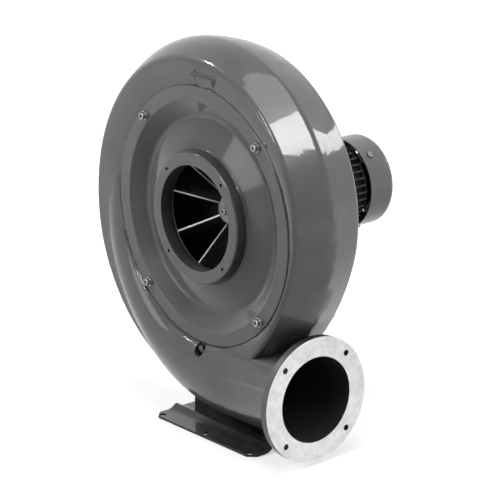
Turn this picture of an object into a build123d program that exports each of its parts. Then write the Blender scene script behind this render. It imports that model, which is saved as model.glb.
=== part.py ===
from build123d import *
from math import cos, degrees, radians, sin
import os

# Centrifugal fan: a cast volute casing on a pressed base, with a radial-blade impeller on the shaft
# of a flange-mounted motor. Millimetres. Origin: floor level, centre of the foot holes.
# X points out of the outlet, Y from the inlet towards the motor, Z up.

# Placing of the shaft axis
shaft_height = 270.0
inlet_face_y = -81.0

# Casing: depths are measured from the inlet boss face along the shaft
casing_front = 10.6
casing_width = 91.0
casing_wall = 4.0
casing_mid = 50.0
scroll_start = -60.0
scroll_end = 270.0
spiral_base_r = 154.5
spiral_growth = 70.65
tongue_angle = -15.0
tongue_rise = 23.5
channel_base_r = 175.0
channel_growth = 71.0
channel_power = 2.4
channel_r = 40.0
flat_sink = 25.6
crease_rise = 15.8
rear_share = 0.2
front_corner_r = 7.0
rear_corner_r = 5.0
front_draft = 1.0
front_slope = 29.0
rear_slope = 13.0

# Outlet duct
duct_bore_r = 51.0
duct_start = 56.0
duct_reach = 153.7
outlet_flange_r = 74.4
outlet_flange_thickness = 9.0
outlet_pcd_r = 64.6
outlet_hole_r = 3.6

# Inlet cover
inlet_bore_r = 62.5
inlet_throat_length = 15.0
boss_r = 76.8
boss_drop = 13.6
inlet_pcd_r = 70.2
inlet_tap_r = 2.1
inlet_tap_depth = 12.0
dish_depth = 23.4
dish_r = 116.6
dish_top_r = 136.0
cover_r = 153.5
cover_rim = 5.0
cover_proud = 0.8
cover_wall = 4.0
cover_fit = 0.4

# Impeller
impeller_r = 133.0
impeller_eye_r = 63.5
shroud_front = 17.6
shroud_tip_depth = 36.0
shroud_sheet = 1.5
blade_count = 8
blade_sheet = 1.8
blade_phase = 29.0
hub_front = 50.0
hub_r = 19.5
backplate_rear = 88.0
backplate_sheet = 2.5
running_gap = 0.3
seat_gap = 0.05

# Back plate
back_plate_thickness = 5.0
back_plate_r = 156.0
back_plate_flat = 146.0
back_lug_r = 8.0
back_pcd_r = 158.0
back_rib_height = 7.0
back_rib_sheet = 4.0
back_rib_count = 8

# Base plate
base_length = 184.0
base_depth = 154.0
base_sheet = 3.0
base_flange = 21.0
ridge_width = 27.0
ridge_height = 8.4
base_corner = 9.0
foot_pitch_x = 82.3
foot_pitch_y = 142.0
foot_hole_r = 4.5

# Cast foot of the casing
foot_left = -74.0
foot_right = 52.0
foot_front_depth = 53.4
foot_rear_depth = 95.0
foot_web = 6.0
foot_pad = 7.0

# Motor
motor_flange_r = 60.0
motor_flange_thickness = 10.0
motor_spigot_r = 40.0
motor_pcd_r = 50.0
stator_bore_r = 39.0
stator_shell_r = 42.5
fin_tip_r = 50.0
fin_count = 36
fin_sheet = 1.8
stator_length = 100.8
core_length = 50.0
winding_reach = 15.0
rotor_core_r = 25.6
air_gap = 0.4
cowl_r = 55.0
cowl_sheet = 1.5
cowl_length = 39.8
cowl_start = 226.2
cowl_corner_r = 9.0
fan_r = 44.0
fan_blades = 7

# Shaft and bearings
shaft_r = 7.0
journal_r = 7.5
core_seat_r = 9.0
tail_r = 6.0
front_bearing = {"bore": 7.5, "outer": 17.5, "width": 11.0, "pitch": 12.5, "ball": 3.0, "count": 8}
rear_bearing = {"bore": 6.0, "outer": 14.0, "width": 8.0, "pitch": 10.0, "ball": 2.3, "count": 8}

# Terminal box
box_width = 76.0
box_length = 70.0
box_height = 26.0
box_wall = 3.0
box_floor_r = 53.0
gasket_sheet = 1.5
lid_height = 12.0
box_side = 90.0

# Screws
cover_screw_r = 2.5
plate_screw_r = 3.0
small_screw_r = 2.0
tap_gap = 0.1

# Worked-out places
casing_rear = casing_front + casing_width
duct_outer_r = duct_bore_r + casing_wall
plate_rear = casing_rear + back_plate_thickness
cover_face = casing_front - cover_proud
cover_seat = cover_face + cover_rim
cover_pcd_r = (dish_top_r + cover_r) / 2 - 0.5
duct_axis = channel_base_r + channel_growth - duct_outer_r
motor_front = plate_rear
stator_front = motor_front + motor_flange_thickness + 6.0
stator_rear = stator_front + stator_length
front_bearing_at = motor_front + 8.0
rear_bearing_at = stator_rear - 8.0
core_front = stator_front + (stator_length - core_length) / 2
cowl_rear = cowl_start + cowl_length

FAN = Location((0, inlet_face_y, shaft_height), (90, 0, 0))


def place(shape):
    """Move a piece from the front-view frame (depth is minus Z) to its place on the floor."""
    return FAN * shape


def disc(radius, near, far, x=0.0, y=0.0):
    """Round solid along the shaft direction between two depths."""
    return Pos(x, y, -(near + far) / 2) * Cylinder(radius, far - near)


def ring(outer, inner, near, far):
    """Flat ring around the shaft between two depths."""
    return disc(outer, near, far) - disc(inner, near - 1, far + 1)


def slab(x0, x1, y0, y1, near, far):
    """Rectangular solid given by its faces, with depths along the shaft."""
    centre = Pos((x0 + x1) / 2, (y0 + y1) / 2, -(near + far) / 2)
    return centre * Box(x1 - x0, y1 - y0, far - near)


def turned(corners):
    """Revolve a closed outline of (radius, depth, corner radius) points about the shaft."""
    face = make_face(Polyline(*[(r, -d) for r, d, _ in corners], close=True))
    for r, d, rounding in corners:
        if rounding > 0:
            corner = face.vertices().sort_by_distance((r, -d, 0))[0]
            face = fillet(corner, rounding)
    return revolve(Plane.XZ * face, Axis.Z, 360)


def around(count, radius, phase=45.0):
    """Places on a circle about the shaft."""
    return PolarLocations(radius, count, start_angle=phase)


def hexagon(across, height):
    """Hexagonal prism with its base at zero and its top at -Z, for bolt heads seen from behind."""
    return extrude(RegularPolygon(across / 2, 6, major_radius=False), -height)


def channel_reach(angle):
    """Outer reach of the round channel, anticlockwise from the outlet side as seen from the inlet."""
    share = (angle - scroll_start) / (scroll_end - scroll_start)
    return channel_base_r + channel_growth * share ** channel_power


def spiral_radius(angle):
    """Even spiral of the flat-sided part, which runs straight on into the duct at its start."""
    share = (angle - scroll_start) / (scroll_end - scroll_start)
    early = max(0.0, (tongue_angle - angle) / 45)
    return spiral_base_r + spiral_growth * share + tongue_rise * early ** 2


def flat_radius(angle):
    """Reach of the flat-sided part, which sinks into the round duct towards the bottom."""
    if angle <= 180:
        return spiral_radius(angle)
    late = (angle - 180) / 90
    step = channel_reach(180) - spiral_radius(180)
    return channel_reach(angle) - flat_sink * late ** 2 - step * (1 - late)


def crease_reach(angle):
    """How far the crease stands out beyond the front; it fades where the round channel begins."""
    share = min(1.0, max(0.0, (angle - 115) / 75))
    return crease_rise * (1 - share * share * (3 - 2 * share))


def flat_outline(depth, inset, crease_part):
    """Closed outline of the flat-sided part of the volute at one depth."""
    first = scroll_start - 6
    points = []
    for i in range(31):
        angle = first + (scroll_end - first) * (i / 30) ** 1.35
        reach = flat_radius(angle) - inset + crease_part * crease_reach(angle)
        points.append((reach * cos(radians(angle)), reach * sin(radians(angle))))
    curve = Spline(*points)
    chord = Line(points[-1], points[0])
    return Pos(0, 0, -depth) * make_face([curve, chord])


def corner_arc(depth, inset, radius, turn, last, crease_part):
    """Sections of a rounded corner; turn is 1 at the front and -1 at the rear."""
    sections = []
    for i in range(5):
        step = radians(90 + (last - 90) * i / 4)
        sections.append((depth + turn * radius * (1 - sin(step)), inset + radius * (1 - cos(step)),
                         crease_part))
    return sections


def flat_part(inset, near, far, front_r, rear_r):
    """Flat-sided volute whose wall rises to a crease at mid depth, with rounded corners."""
    crease = (casing_mid, inset, 1.0)
    front = corner_arc(near, inset + front_draft, front_r, 1, front_slope, 0.0)
    rear = corner_arc(far, inset, rear_r, -1, rear_slope, rear_share)
    body = None
    for layers, straight in ((front, False), ([front[-1], crease], True), ([crease, rear[-1]], True),
                             (rear, False)):
        outlines = [flat_outline(*layer) for layer in layers]
        layer = loft(outlines, ruled=straight)
        body = layer if body is None else body + layer
    return body


def pipe_radius(angle):
    """Outer radius of the round channel that swells out of the flat part."""
    return channel_r + (duct_outer_r - channel_r) * (angle - 180) / 90


def round_part(inset):
    """Round channel that grows along the volute and runs on as the outlet duct."""
    sections = []
    for angle in (150, 165, 180, 195, 210, 225, 240, 255):
        size = pipe_radius(angle)
        reach = channel_reach(angle) - size
        across = Vector(cos(radians(angle)), sin(radians(angle)), 0)
        ahead = Vector(-sin(radians(angle)), cos(radians(angle)), 0)
        centre = across * reach - Vector(0, 0, casing_mid)
        frame = Plane(origin=centre, x_dir=(0, 0, 1), z_dir=ahead)
        sections.append(frame * Circle(size - inset))
    for reach in (0.24 * duct_start, 0.6 * duct_start, duct_start):
        frame = Plane(origin=(reach, -duct_axis, -casing_mid), x_dir=(0, 0, 1), z_dir=(1, 0, 0))
        sections.append(frame * Circle(duct_outer_r - inset))
    return loft(sections)


def duct_tube(radius, start, end):
    """Straight round solid along the outlet axis."""
    middle = Pos((start + end) / 2, -duct_axis, -casing_mid)
    return middle * Rot(0, 90, 0) * Cylinder(radius, end - start)


def back_outline(grow, near, far):
    """Back plate outline with four lugs and a flat over the duct, grown by a margin."""
    body = disc(back_plate_r + grow, near, far)
    for place_at in around(4, back_pcd_r):
        lug = place_at * disc(back_lug_r + grow, near, far)
        body = body + lug
    below = slab(-300, 300, -400, -back_plate_flat - grow, near - 1, far + 1)
    return body - below


def casing_outside():
    """Volute before it is hollowed, with room for the cover and the back plate."""
    channel = round_part(0.0) + cast_foot()
    channel = channel - disc(cover_r + cover_fit, -50, casing_front)
    channel = channel - back_outline(1.0, casing_rear, casing_rear + 60)
    return flat_part(0.0, casing_front, casing_rear, front_corner_r, rear_corner_r) + channel


def cast_foot():
    """Two webs and a pad under the volute."""
    pad_bottom = base_sheet - shaft_height
    web_top = -duct_axis + 6
    front = slab(foot_left, foot_right, pad_bottom, web_top, foot_front_depth, foot_front_depth + foot_web)
    rear = slab(foot_left, foot_right, pad_bottom, web_top, foot_rear_depth - foot_web, foot_rear_depth)
    middle = (foot_left + foot_right) / 2
    rib = slab(middle - foot_web / 2, middle + foot_web / 2, pad_bottom, web_top,
               foot_front_depth, foot_rear_depth)
    pad = slab(foot_left, foot_right, pad_bottom, pad_bottom + foot_pad, foot_front_depth, foot_rear_depth)
    return front + rear + rib + pad


def casing_inside():
    """Air space of the volute."""
    inner_front = casing_front + casing_wall
    inner_rear = casing_rear - casing_wall
    channel = round_part(casing_wall)
    channel = channel - disc(cover_r + casing_wall, -50, inner_front)
    channel = channel - back_outline(casing_wall, inner_rear, inner_rear + 80)
    return flat_part(casing_wall, inner_front, inner_rear, front_corner_r - casing_wall, 2.0) + channel


def outlet_duct():
    """Straight duct and its flange before the bore is cut."""
    flange = duct_tube(outlet_flange_r, duct_reach - outlet_flange_thickness, duct_reach)
    return duct_tube(duct_outer_r, duct_start, duct_reach) + flange


def foot_screw_spots():
    """Places of the screws that hold the casting's foot, seen from the front."""
    middle = (foot_front_depth + foot_rear_depth) / 2
    inset = 16.0
    return [(foot_left + inset, middle), (foot_right - inset, middle)]


def rotation_arrow():
    """Raised outline of an arrow that shows the running direction."""
    half = 22.5
    points = [(-half, 0), (-half + 8, 5.5), (-half + 8, 2), (half, 2), (half, -2), (half - 3, -8.5),
              (half - 8, -8.5), (half - 5, -2), (-half + 8, -2), (-half + 8, -5.5)]
    face = make_face(Polyline(*points, close=True))
    line = face - offset(face, -1.1)
    at = (cover_r + cover_fit + spiral_radius(88) - front_corner_r - front_draft) / 2
    return Pos(7, at, -casing_front) * extrude(line, 0.7)


def scroll_casing():
    """Volute casting with duct, flange, foot and all its holes."""
    plug_y = -(cover_r + 6.5)
    body = casing_outside() - casing_inside()
    body = body + outlet_duct()
    body = body - duct_tube(duct_bore_r, duct_start, duct_reach + 1)
    body = body + ring(cover_r + casing_wall, dish_top_r + 2, casing_front + 1, cover_seat + 6)
    for at in around(4, back_pcd_r):
        body = body + at * disc(back_lug_r, casing_rear - 10, casing_rear - 1)
    body = body + disc(10, casing_front - 1, cover_seat + 6, 0, plug_y)
    body = body - disc(8, -50, casing_front, 0, plug_y)
    body = body - disc(dish_top_r + 2.2, -1, cover_seat + 7)
    body = body - disc(cover_r + cover_fit, -1, cover_seat)
    body = body - disc(back_pcd_r - 22, casing_mid, casing_rear + 1)
    for at in around(4, cover_pcd_r):
        body = body - at * disc(cover_screw_r + tap_gap, cover_seat - 1, cover_seat + 7)
    for at in around(4, back_pcd_r):
        body = body - at * disc(plate_screw_r + tap_gap, casing_rear - 9, casing_rear + 1)
    body = body - disc(plate_screw_r + tap_gap, casing_front - 1, casing_front + 9, 0, plug_y)
    hole = Rot(0, 90, 0) * Cylinder(outlet_hole_r, 3 * outlet_flange_thickness)
    for at in around(4, outlet_pcd_r):
        spot = at.position
        body = body - Pos(duct_reach, spot.X - duct_axis, spot.Y - casing_mid) * hole
    for x, depth in foot_screw_spots():
        drill = Rot(90, 0, 0) * Cylinder(plate_screw_r + tap_gap, 4 * foot_pad)
        body = body - Pos(x, base_sheet - shaft_height, -depth) * drill
    return body + rotation_arrow()


def inlet_cover():
    """Dished cover with the inlet boss, throat, tapped holes and screw holes."""
    foot_r = boss_r + 2.8
    shell = turned([
        (inlet_bore_r, 0, 0),
        (boss_r, 0, 2.0),
        (foot_r, boss_drop, 3.0),
        (dish_r, dish_depth, 7.0),
        (dish_top_r, cover_face, 3.0),
        (cover_r, cover_face, 1.2),
        (cover_r, cover_seat, 0),
        (dish_top_r + cover_wall / 2, cover_seat, 1.0),
        (dish_r + 1.2, dish_depth + 1.15 * cover_wall, 4.0),
        (foot_r - 1.0, boss_drop + cover_wall, 1.0),
        (inlet_bore_r + 4.0, inlet_throat_length, 1.0),
        (inlet_bore_r, inlet_throat_length, 0),
    ])
    for at in around(4, inlet_pcd_r):
        shell = shell - at * disc(inlet_tap_r, -1, inlet_tap_depth)
    for at in around(4, cover_pcd_r):
        shell = shell - at * disc(cover_screw_r + 0.3, cover_face - 1, cover_seat + 1)
    return shell


def socket_screw(radius, length, head_r, head_height):
    """Socket head cap screw: head above zero depth, shank below it."""
    screw = disc(head_r, -head_height, 0) + disc(radius, -0.5, length)
    screw = fillet(screw.edges().group_by(Axis.Z)[-1], 0.5)
    return screw - Pos(0, 0, head_height / 2) * extrude(RegularPolygon(head_r * 0.55, 6), head_height)


def hex_screw(radius, length, across, head_height):
    """Hexagon head screw seen from the motor side: head behind zero depth, shank in front of it."""
    head = hexagon(across, head_height)
    return head + disc(radius, -length, 0.5)


def washer(radius, thickness, hole):
    """Flat washer above zero depth."""
    return disc(radius, -thickness, 0) - disc(hole, -thickness - 1, 1)


def cover_fixings():
    """Screws and washers on the cover's rim."""
    screws = []
    washers = []
    for at in around(4, cover_pcd_r):
        screws.append(at * Pos(0, 0, -cover_face + 1.0) * socket_screw(cover_screw_r, 11.0, 4.4, 5.0))
        washers.append(at * Pos(0, 0, -cover_face) * washer(5.6, 1.0, cover_screw_r + 0.2))
    return screws, washers


def crease_plug():
    """Hexagon plug in its spot face under the cover."""
    head = Rot(180, 0, 0) * hexagon(8.0, 4.5)
    plug = head + disc(plate_screw_r, -0.5, 7)
    collar = disc(5.5, -1.0, 0)
    return Pos(0, -(cover_r + 6.5), -casing_front) * (plug + collar)


def back_plate():
    """Cast plate that closes the casing's back and carries the motor."""
    plate = back_outline(0.0, casing_rear, plate_rear)
    plate = plate + disc(motor_flange_r + 4, casing_rear - 3, plate_rear)
    for at in around(back_rib_count, 0, 22.5):
        rib = slab(motor_flange_r + 3, back_pcd_r - 24, -back_rib_sheet / 2, back_rib_sheet / 2,
                   plate_rear - 1, plate_rear + back_rib_height)
        plate = plate + at * rib
    rim = ring(motor_flange_r + 6, motor_flange_r + 0.4, plate_rear - 1, plate_rear + 4)
    plate = plate + rim
    plate = plate - disc(motor_spigot_r + seat_gap, casing_rear - 5, plate_rear + 1)
    for at in around(4, back_pcd_r):
        plate = plate - at * disc(plate_screw_r + 0.4, casing_rear - 1, plate_rear + 1)
    for at in around(4, motor_pcd_r):
        plate = plate - at * disc(plate_screw_r + tap_gap, casing_rear - 5, plate_rear + 1)
    return plate


def back_plate_bolts():
    """Hexagon bolts with pressed-on washers round the back plate."""
    bolts = []
    for at in around(4, back_pcd_r):
        bolt = hex_screw(plate_screw_r, 12.0, 10.0, 5.0) + disc(6.0, 0, 1.2)
        bolts.append(at * Pos(0, 0, -plate_rear) * bolt)
    return bolts


def impeller_shroud():
    """Front shroud, a shallow cone with an eye lip."""
    lip = shroud_front
    return turned([
        (impeller_eye_r, lip, 0),
        (impeller_eye_r + 7, lip + 1.0, 4.0),
        (impeller_r, shroud_tip_depth, 0),
        (impeller_r, shroud_tip_depth + shroud_sheet, 0),
        (impeller_eye_r + 7, lip + 1.0 + shroud_sheet, 4.0),
        (impeller_eye_r, lip + shroud_sheet, 0),
    ])


def impeller_backplate():
    """Flat backplate with a hole for the hub spigot and the rivet holes."""
    plate = ring(impeller_r, shaft_r + 6.0 + seat_gap, backplate_rear - backplate_sheet, backplate_rear)
    for at in around(blade_count, hub_r + 6, blade_phase + 22.5):
        plate = plate - at * disc(1.6, backplate_rear - 10, backplate_rear + 1)
    return plate


def impeller_blades():
    """Straight radial blades from the sloping inlet edge to the rim."""
    front = backplate_rear - backplate_sheet - seat_gap
    root = hub_r + seat_gap
    eye = impeller_eye_r
    outline = make_face(Polyline(
        (root, -(hub_front + 2)),
        (eye, -(shroud_front + shroud_sheet + seat_gap)),
        (eye + 7, -(shroud_front + 1.0 + shroud_sheet + 0.35)),
        (impeller_r - 1, -(shroud_tip_depth + shroud_sheet - 0.1)),
        (impeller_r - 1, -front),
        (hub_r + 12.5, -front),
        (hub_r + 12.5, -(front - 5)),
        (root, -(front - 5)),
        close=True))
    blade = extrude(Plane.XZ * outline, blade_sheet / 2, both=True)
    return [at * blade for at in around(blade_count, 0, blade_phase)]


def impeller_hub():
    """Turned hub with a rivet flange, spigot, shaft bore and keyway."""
    front = backplate_rear - backplate_sheet
    hub = turned([
        (shaft_r + seat_gap, hub_front, 0),
        (hub_r - 3, hub_front, 2.0),
        (hub_r, hub_front + 5, 1.0),
        (hub_r, front - 4, 1.0),
        (hub_r + 12, front - 4, 0),
        (hub_r + 12, front, 0),
        (shaft_r + 6.0, front, 0),
        (shaft_r + 6.0, backplate_rear + 3, 0),
        (shaft_r + seat_gap, backplate_rear + 3, 0),
    ])
    for at in around(blade_count, hub_r + 6, blade_phase + 22.5):
        hub = hub - at * disc(1.6, front - 10, front + 1)
    return hub - slab(-2.55, 2.55, 0, shaft_r + 2.4, hub_front - 1, backplate_rear + 4)


def impeller_rivets():
    """Rivets through the hub flange and the backplate."""
    front = backplate_rear - backplate_sheet
    rivets = []
    for at in around(blade_count, hub_r + 6, blade_phase + 22.5):
        body = disc(1.5, front - 4, backplate_rear)
        heads = disc(2.8, front - 5.2, front - 4) + disc(2.8, backplate_rear, backplate_rear + 1.2)
        rivets.append(at * (body + heads))
    return rivets


def shaft():
    """Stepped motor shaft with a keyway, a tapped nose and a tail for the cooling fan."""
    seat_end = front_bearing_at + front_bearing["width"]
    tail_end = rear_bearing_at + rear_bearing["width"]
    body = turned([
        (0, hub_front + 1, 0),
        (shaft_r, hub_front + 1, 0.8),
        (shaft_r, front_bearing_at - 12, 0),
        (journal_r, front_bearing_at - 12, 0),
        (journal_r, seat_end, 0),
        (core_seat_r, seat_end, 0),
        (core_seat_r, rear_bearing_at, 0),
        (tail_r, rear_bearing_at, 0),
        (tail_r, tail_end + 1, 0),
        (tail_r - 0.5, tail_end + 1, 0),
        (tail_r - 0.5, cowl_rear - 12, 0.5),
        (0, cowl_rear - 12, 0),
    ])
    body = body - slab(-2.5, 2.5, shaft_r - 2.6, shaft_r + 1, hub_front + 4, backplate_rear + 2)
    return body - disc(2.5 + tap_gap, hub_front, hub_front + 16)


def retaining_fixings():
    """Washer and screw that hold the hub on the shaft's nose."""
    plate = ring(hub_r - 6, 2.8, hub_front - 3, hub_front)
    screw = Pos(0, 0, -(hub_front - 3)) * socket_screw(2.5, 16.0, 4.4, 5.0)
    return plate, screw


def shaft_seal():
    """Lip seal in the motor's front shield; it runs on the shaft with a hair of clearance."""
    near = motor_front - 2.5
    seal = ring(13.0, 9.0, near, near + 6)
    lip = turned([
        (journal_r + running_gap, near + 1.5, 0),
        (9.5, near + 2.5, 0),
        (9.5, near + 4.5, 0),
        (journal_r + running_gap, near + 2.7, 0),
    ])
    return seal + lip


def outer_ring(bearing, near):
    """Bearing outer ring with its ball groove."""
    shoulder = bearing["pitch"] + 0.55 * bearing["ball"]
    body = ring(bearing["outer"], shoulder, near, near + bearing["width"])
    groove = Pos(0, 0, -(near + bearing["width"] / 2)) * Torus(bearing["pitch"], bearing["ball"] + 0.12)
    return body - groove


def inner_ring(bearing, near):
    """Bearing inner ring with its ball groove."""
    shoulder = bearing["pitch"] - 0.55 * bearing["ball"]
    body = ring(shoulder, bearing["bore"] + 0.02, near, near + bearing["width"])
    groove = Pos(0, 0, -(near + bearing["width"] / 2)) * Torus(bearing["pitch"], bearing["ball"] + 0.12)
    return body - groove


def bearing_balls(bearing, near):
    """Balls on their pitch circle."""
    middle = -(near + bearing["width"] / 2)
    return [at * Pos(0, 0, middle) * Sphere(bearing["ball"]) for at in around(bearing["count"], bearing["pitch"], 0)]


def bearing_cage(bearing, near):
    """Cage ring with a pocket for each ball."""
    middle = -(near + bearing["width"] / 2)
    half = bearing["ball"] + 0.8
    thin = 0.28 * bearing["ball"]
    body = ring(bearing["pitch"] + thin, bearing["pitch"] - thin, -middle - half, -middle + half)
    pocket = Rot(0, 90, 0) * Cylinder(bearing["ball"] + 0.12, 8 * thin)
    for at in around(bearing["count"], bearing["pitch"], 0):
        body = body - at * Pos(0, 0, middle) * pocket
    return body


def motor_front_shield():
    """Flange shield with spigot, seal seat and bearing seat."""
    face = motor_front
    back = stator_front
    seat = front_bearing_at
    width = front_bearing["width"]
    bore = front_bearing["outer"] + 0.02
    shield = turned([
        (13.05, face - 2.5, 0),
        (motor_spigot_r, face - 2.5, 0.8),
        (motor_spigot_r, face, 0),
        (motor_flange_r, face, 0.8),
        (motor_flange_r, face + motor_flange_thickness, 2.0),
        (fin_tip_r - 2, face + motor_flange_thickness, 2.0),
        (fin_tip_r - 4, back, 0),
        (stator_bore_r - 0.3, back, 0),
        (stator_bore_r - 0.3, back + 4, 0),
        (stator_bore_r - 4, back + 4, 0),
        (stator_bore_r - 6, face + motor_flange_thickness, 2.0),
        (bore + 7, face + motor_flange_thickness, 2.0),
        (bore + 5, seat + width + 1, 0),
        (bore, seat + width + 1, 0),
        (bore, seat, 0),
        (10.0, seat, 0),
        (10.0, face + 3.6, 0),
        (13.05, face + 3.6, 0),
    ])
    for at in around(4, motor_pcd_r):
        shield = shield - at * disc(plate_screw_r + 0.4, face - 1, face + motor_flange_thickness + 7)
        shield = shield - at * disc(6.6, face + motor_flange_thickness, back + 1)
    return shield


def motor_flange_bolts():
    """Hexagon bolts through the motor's flange into the back plate."""
    bolts = []
    for at in around(4, motor_pcd_r):
        bolt = hex_screw(plate_screw_r, motor_flange_thickness + 6.5, 10.0, 4.0)
        bolts.append(at * Pos(0, 0, -(motor_front + motor_flange_thickness)) * bolt)
    return bolts


def stator_housing():
    """Extruded housing with cooling fins and a flat for the terminal box."""
    body = ring(stator_shell_r, stator_bore_r, stator_front, stator_rear)
    half_box = box_width / 2 - 14
    fin = slab(stator_shell_r - 1, fin_tip_r, -fin_sheet / 2, fin_sheet / 2, stator_front, stator_rear)
    fins = [at * fin for at in around(fin_count, 0, 0)]
    for piece in fins:
        body = body + piece
    box_near, box_far = terminal_span()
    cut = slab(-half_box - 12, half_box + 12, box_floor_r - 14, box_floor_r + 20, box_near, box_far)
    pad = slab(-half_box, half_box, stator_shell_r - 8, box_floor_r, box_near + 6, box_far - 6)
    body = body - (cut - disc(stator_shell_r, box_near - 1, box_far + 1))
    body = body + (pad - disc(stator_bore_r + 1, box_near, box_far))
    well = slab(-half_box + 6, half_box - 6, stator_bore_r - 8, box_floor_r + 1, box_near + 14, box_far - 14)
    return body - well


def terminal_span():
    """Near and far depths of the terminal box."""
    middle = stator_front + stator_length / 2 - 6
    return middle - box_length / 2, middle + box_length / 2


def stator_core():
    """Lamination pack with open slots."""
    pack = ring(stator_bore_r - seat_gap, rotor_core_r + air_gap, core_front, core_front + core_length)
    for at in around(24, 0, 7.5):
        slot = slab(rotor_core_r + air_gap + 2, stator_bore_r - 5, -1.6, 1.6, core_front - 1,
                    core_front + core_length + 1)
        pack = pack - at * slot
    return pack


def stator_windings():
    """Two rounded bundles of winding at the ends of the lamination pack."""
    inner = rotor_core_r + 3
    outer = stator_bore_r - 4.6
    round_r = 0.4 * (outer - inner)
    end = core_front + core_length
    front = turned([
        (inner, core_front - winding_reach, round_r),
        (outer, core_front - winding_reach, round_r),
        (outer, core_front - seat_gap, 0),
        (inner, core_front - seat_gap, 0),
    ])
    rear = turned([
        (inner, end + seat_gap, 0),
        (outer, end + seat_gap, 0),
        (outer, end + winding_reach, round_r),
        (inner, end + winding_reach, round_r),
    ])
    return [front, rear]


def rotor_core():
    """Rotor pack with its end rings and balance pegs."""
    body = ring(rotor_core_r, core_seat_r + 0.02, core_front, core_front + core_length)
    for near in (core_front - 6, core_front + core_length):
        body = body + ring(rotor_core_r - 1.5, rotor_core_r - 9, near, near + 6)
    return body


def wave_washer():
    """Spring washer that presses the rear bearing's outer ring forward."""
    near = rear_bearing_at + rear_bearing["width"] + seat_gap
    return ring(rear_bearing["outer"] - 0.4, rear_bearing["outer"] - 3, near, near + 0.9)


def motor_rear_shield():
    """Rear shield with bearing seat and three arms for the cowl."""
    bore = rear_bearing["outer"] + 0.02
    near = rear_bearing_at
    far = near + rear_bearing["width"] + 1.0
    back = stator_rear
    shield = turned([
        (bore, near - 0.5, 0),
        (bore + 5, near - 0.5, 1.0),
        (bore + 6, back, 2.0),
        (stator_bore_r - 5, back, 2.0),
        (stator_bore_r - 4, back - 4, 0),
        (stator_bore_r - 0.3, back - 4, 0),
        (stator_bore_r - 0.3, back, 0),
        (stator_shell_r + 3, back, 0),
        (stator_shell_r + 3, back + 5, 2.0),
        (stator_shell_r - 6, back + 6, 2.0),
        (bore + 4, far + 2.2, 1.0),
        (tail_r + 1.5, far + 2.2, 0),
        (tail_r + 1.5, far, 0),
        (bore, far, 0),
    ])
    arm_tip = cowl_r - cowl_sheet - seat_gap
    for at in around(3, 0, cowl_screw_angle()):
        arm = slab(stator_shell_r - 2, arm_tip - 0.4, -5, 5, back + 0.5, cowl_start + 17)
        arm = arm & disc(arm_tip, back, cowl_start + 18)
        shield = shield + at * (arm - slab(0, stator_shell_r + 5.5, -6, 6, back + 6, cowl_start + 18))
    for at in around(3, 0, cowl_screw_angle()):
        shield = shield - at * radial_pin(small_screw_r + tap_gap, 30, arm_tip + 1, cowl_screw_depth())
    return shield


def cowl_screw_angle():
    """Angle of the first cowl screw."""
    return 47.0


def cowl_screw_depth():
    """Depth of the cowl screws."""
    return cowl_start + 12.5


def radial_pin(radius, inner, outer, depth):
    """Round solid along the local X axis at a depth."""
    return Pos((inner + outer) / 2, 0, -depth) * Rot(0, 90, 0) * Cylinder(radius, outer - inner)


def cowl_screws():
    """Pan head screws round the cowl."""
    screws = []
    for at in around(3, 0, cowl_screw_angle()):
        head = radial_pin(3.6, cowl_r + 0.1, cowl_r + 2.3, cowl_screw_depth())
        shank = radial_pin(small_screw_r, stator_shell_r + 6, cowl_r + 0.5, cowl_screw_depth())
        slot = slab(cowl_r + 1.4, cowl_r + 4, -0.5, 0.5, cowl_screw_depth() - 5, cowl_screw_depth() + 5)
        screws.append(at * (head + shank - slot))
    return screws


def cooling_fan():
    """Plastic fan with straight radial blades on the shaft's tail."""
    near = stator_rear + 12.5
    far = cowl_rear - 9
    hub = ring(10.0, tail_r - 0.5 + seat_gap, near, far - 4)
    disc_part = ring(fan_r - 6, 9.5, near + 5, near + 7)
    body = hub + disc_part
    for at in around(fan_blades, 0, 0):
        blade = slab(9, fan_r, -1.0, 1.0, near + 6, far)
        body = body + at * blade
    return body


def fan_cowl():
    """Deep-drawn cowl with rings of air slots in its end."""
    inner = cowl_r - cowl_sheet
    shell = turned([
        (0, cowl_rear, 0),
        (cowl_r, cowl_rear, cowl_corner_r),
        (cowl_r, cowl_start, 0),
        (inner, cowl_start, 0),
        (inner, cowl_rear - cowl_sheet, cowl_corner_r - cowl_sheet),
        (0, cowl_rear - cowl_sheet, 0),
    ])
    slot_rings = ((16.0, 6), (24.5, 8), (33.0, 12), (41.0, 16))
    for radius, count in slot_rings:
        web = 5.0
        span = 360 / count - degrees(web / radius)
        face = SlotArc(CenterArc((0, 0), radius, -span / 2, span), 4.6)
        cutter = Pos(0, 0, -(cowl_rear + 2)) * extrude(face, 6)
        for at in around(count, 0, 0):
            shell = shell - at * cutter
    for at in around(3, 0, cowl_screw_angle()):
        shell = shell - at * radial_pin(small_screw_r + 0.3, 45, cowl_r + 2, cowl_screw_depth())
    return shell


def box_shell(width, length, y0, y1, corner):
    """Rounded box standing on the motor between two heights above the shaft."""
    near, far = terminal_span()
    middle = (near + far) / 2
    face = RectangleRounded(width, length, corner)
    solid = extrude(face, y1 - y0)
    return Pos(0, y0, -middle) * Rot(-90, 0, 0) * solid


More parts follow.
